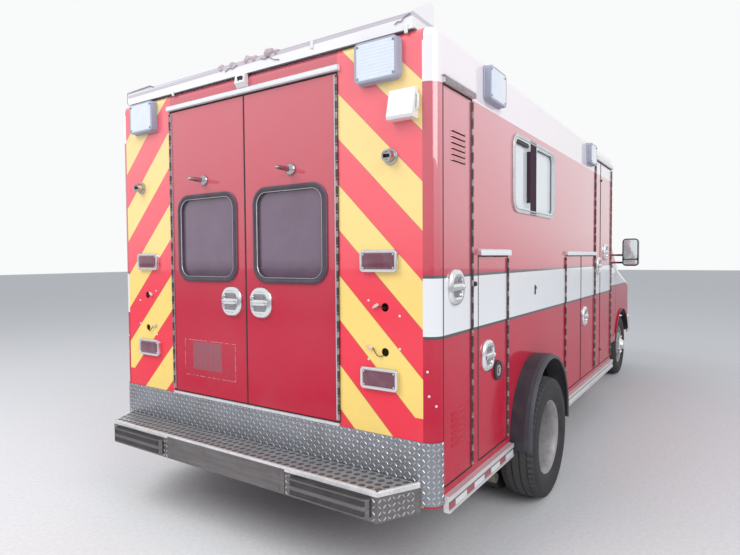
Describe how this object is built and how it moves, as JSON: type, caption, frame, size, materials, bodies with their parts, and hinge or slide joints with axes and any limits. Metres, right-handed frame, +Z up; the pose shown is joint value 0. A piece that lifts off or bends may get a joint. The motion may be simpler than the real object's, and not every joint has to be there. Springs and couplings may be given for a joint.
{
  "type": "box-bodied ambulance",
  "caption": "Ambulance on a cutaway van chassis, with a boxy patient module, hinged rear and side doors, steered front wheels and twin rear wheels.",
  "frame": {"origin": "on the ground, under the middle of the vehicle's bounding box", "axes": "+X is forward, +Y is the vehicle's left, +Z is up"},
  "size_m": [6.4, 2.55, 2.65],
  "materials": {
    "red_paint": "gloss",
    "white_paint": "gloss",
    "floor_panel": "satin",
    "locker_sheet": "satin",
    "window_frame": "satin",
    "aluminium_trim": "satin",
    "black_rubber": "matte",
    "diamond_plate": "satin",
    "clear_lens": "gloss",
    "chrome_fittings": "polished",
    "chassis_black": "satin",
    "cast_engine": "matte",
    "plastic_tank": "matte",
    "exhaust_steel": "satin",
    "clear_glass": "gloss",
    "dark_glass": "gloss",
    "grille_plastic": "satin",
    "seat_fabric": "matte",
    "dark_plastic": "satin",
    "tyre_rubber": "matte"
  },
  "bodies": {
    "root": {"cab_fenders": "red_paint", "cab_shell": "red_paint", "corner_posts": "red_paint", "crossmembers": "chassis_black", "dashboard": "dark_plastic", "drivetrain": "cast_engine", "engine_block": "cast_engine", "exhaust": "exhaust_steel", "fender_flares": "black_rubber", "frame_rails": "chassis_black", "front_axle": "chassis_black", "front_bumper": "chrome_fittings", "fuel_tank": "plastic_tank", "grille": "grille_plastic", "lockers_left": "locker_sheet", "lockers_right": "locker_sheet", "module_floor": "floor_panel", "module_front_wall": "white_paint", "module_roof": "white_paint", "module_wall_left": "red_paint", "module_wall_right": "red_paint", "rear_axle": "chassis_black", "rear_fittings": "chrome_fittings", "rear_frame": "red_paint", "rear_kick_plate": "diamond_plate", "rear_panels": "red_paint", "rear_step": "diamond_plate", "roof_tray": "white_paint", "seats": "seat_fabric", "side_window": "window_frame", "trim_rails": "aluminium_trim", "warning_lights": "clear_lens", "windscreen": "clear_glass"},
    "rear_door_right": {"rear_door_right": "red_paint", "rear_door_glass_right": "dark_glass"},
    "rear_door_left": {"rear_door_left": "red_paint", "rear_door_glass_left": "dark_glass"},
    "locker_door_tall": {"locker_door_tall": "red_paint"},
    "locker_door_low": {"locker_door_low": "red_paint"},
    "locker_leaf_rear": {"locker_leaf_rear": "red_paint"},
    "locker_leaf_front": {"locker_leaf_front": "red_paint"},
    "locker_door_narrow": {"locker_door_narrow": "red_paint"},
    "entry_door": {"entry_door": "red_paint"},
    "left_door_rear": {"left_door_rear": "red_paint"},
    "left_door_middle": {"left_door_middle": "red_paint"},
    "left_door_front": {"left_door_front": "red_paint"},
    "cab_door_right": {"cab_door_right": "red_paint", "cab_door_glass_right": "clear_glass"},
    "cab_door_left": {"cab_door_left": "red_paint", "cab_door_glass_left": "clear_glass"},
    "hood": {"hood": "red_paint"},
    "knuckle_right": {"knuckle_right": "cast_engine"},
    "knuckle_left": {"knuckle_left": "cast_engine"},
    "front_wheel_right": {"front_wheel_right": "tyre_rubber"},
    "front_wheel_left": {"front_wheel_left": "tyre_rubber"},
    "rear_wheels_right": {"rear_wheels_right": "tyre_rubber"},
    "rear_wheels_left": {"rear_wheels_left": "tyre_rubber"},
    "steering_wheel": {"steering_wheel": "dark_plastic"}
  },
  "joints": [
    {"name": "rear_door_right_hinge", "type": "hinge", "parent": "root", "child": "rear_door_right", "pos_m": [-2.981, -0.624, 1.5], "axis": [0, 0, 1], "range_deg": [0, 150]},
    {"name": "rear_door_left_hinge", "type": "hinge", "parent": "root", "child": "rear_door_left", "pos_m": [-2.981, 0.624, 1.5], "axis": [0, 0, -1], "range_deg": [0, 150]},
    {"name": "locker_door_tall_hinge", "type": "hinge", "parent": "root", "child": "locker_door_tall", "pos_m": [-2.603, -1.151, 1.3], "axis": [0, 0, 1], "range_deg": [0, 95]},
    {"name": "locker_door_low_hinge", "type": "hinge", "parent": "root", "child": "locker_door_low", "pos_m": [-2.107, -1.151, 1], "axis": [0, 0, 1], "range_deg": [0, 95]},
    {"name": "locker_leaf_rear_hinge", "type": "hinge", "parent": "root", "child": "locker_leaf_rear", "pos_m": [-0.855, -1.151, 1], "axis": [0, 0, -1], "range_deg": [0, 95]},
    {"name": "locker_leaf_front_hinge", "type": "hinge", "parent": "root", "child": "locker_leaf_front", "pos_m": [0.145, -1.151, 1], "axis": [0, 0, 1], "range_deg": [0, 85]},
    {"name": "locker_door_narrow_hinge", "type": "hinge", "parent": "root", "child": "locker_door_narrow", "pos_m": [0.168, -1.151, 1.4], "axis": [0, 0, -1], "range_deg": [0, 85]},
    {"name": "entry_door_hinge", "type": "hinge", "parent": "root", "child": "entry_door", "pos_m": [0.91, -1.151, 1.4], "axis": [0, 0, 1], "range_deg": [0, 95]},
    {"name": "left_door_rear_hinge", "type": "hinge", "parent": "root", "child": "left_door_rear", "pos_m": [-2.418, 1.151, 1.3], "axis": [0, 0, -1], "range_deg": [0, 95]},
    {"name": "left_door_middle_hinge", "type": "hinge", "parent": "root", "child": "left_door_middle", "pos_m": [-0.118, 1.151, 1], "axis": [0, 0, -1], "range_deg": [0, 95]},
    {"name": "left_door_front_hinge", "type": "hinge", "parent": "root", "child": "left_door_front", "pos_m": [0.762, 1.151, 1.4], "axis": [0, 0, -1], "range_deg": [0, 95]},
    {"name": "cab_door_right_hinge", "type": "hinge", "parent": "root", "child": "cab_door_right", "pos_m": [2.08, -1, 1], "axis": [0, 0, 1], "range_deg": [0, 65]},
    {"name": "cab_door_left_hinge", "type": "hinge", "parent": "root", "child": "cab_door_left", "pos_m": [2.08, 1, 1], "axis": [0, 0, -1], "range_deg": [0, 65]},
    {"name": "hood_hinge", "type": "hinge", "parent": "root", "child": "hood", "pos_m": [2.437, 0, 1.335], "axis": [0, -1, 0], "range_deg": [0, 55]},
    {"name": "steer_left", "type": "hinge", "parent": "root", "child": "knuckle_left", "pos_m": [2.5, 0.745, 0.372], "axis": [0, 0, 1], "range_deg": [-33, 33]},
    {"name": "steer_right", "type": "hinge", "parent": "root", "child": "knuckle_right", "pos_m": [2.5, -0.745, 0.372], "axis": [0, 0, 1], "range_deg": [-33, 33]},
    {"name": "steering_wheel_turn", "type": "hinge", "parent": "root", "child": "steering_wheel", "pos_m": [1.862, 0.48, 1.249], "axis": [-0.8944, 0, 0.4472], "range_deg": [-540, 540]},
    {"name": "front_wheel_left_roll", "type": "hinge", "parent": "knuckle_left", "child": "front_wheel_left", "pos_m": [2.5, 0.875, 0.372], "axis": [0, 1, 0], "continuous": true},
    {"name": "front_wheel_right_roll", "type": "hinge", "parent": "knuckle_right", "child": "front_wheel_right", "pos_m": [2.5, -0.875, 0.372], "axis": [0, 1, 0], "continuous": true},
    {"name": "rear_wheels_left_roll", "type": "hinge", "parent": "root", "child": "rear_wheels_left", "pos_m": [-1.629, 1.02, 0.372], "axis": [0, 1, 0], "continuous": true},
    {"name": "rear_wheels_right_roll", "type": "hinge", "parent": "root", "child": "rear_wheels_right", "pos_m": [-1.629, -1.02, 0.372], "axis": [0, 1, 0], "continuous": true}
  ],
  "couplings": [
    {"joint": "steer_right", "follows": "steer_left", "ratio": 1},
    {"joint": "steering_wheel_turn", "follows": "steer_left", "ratio": 16.364}
  ]
}
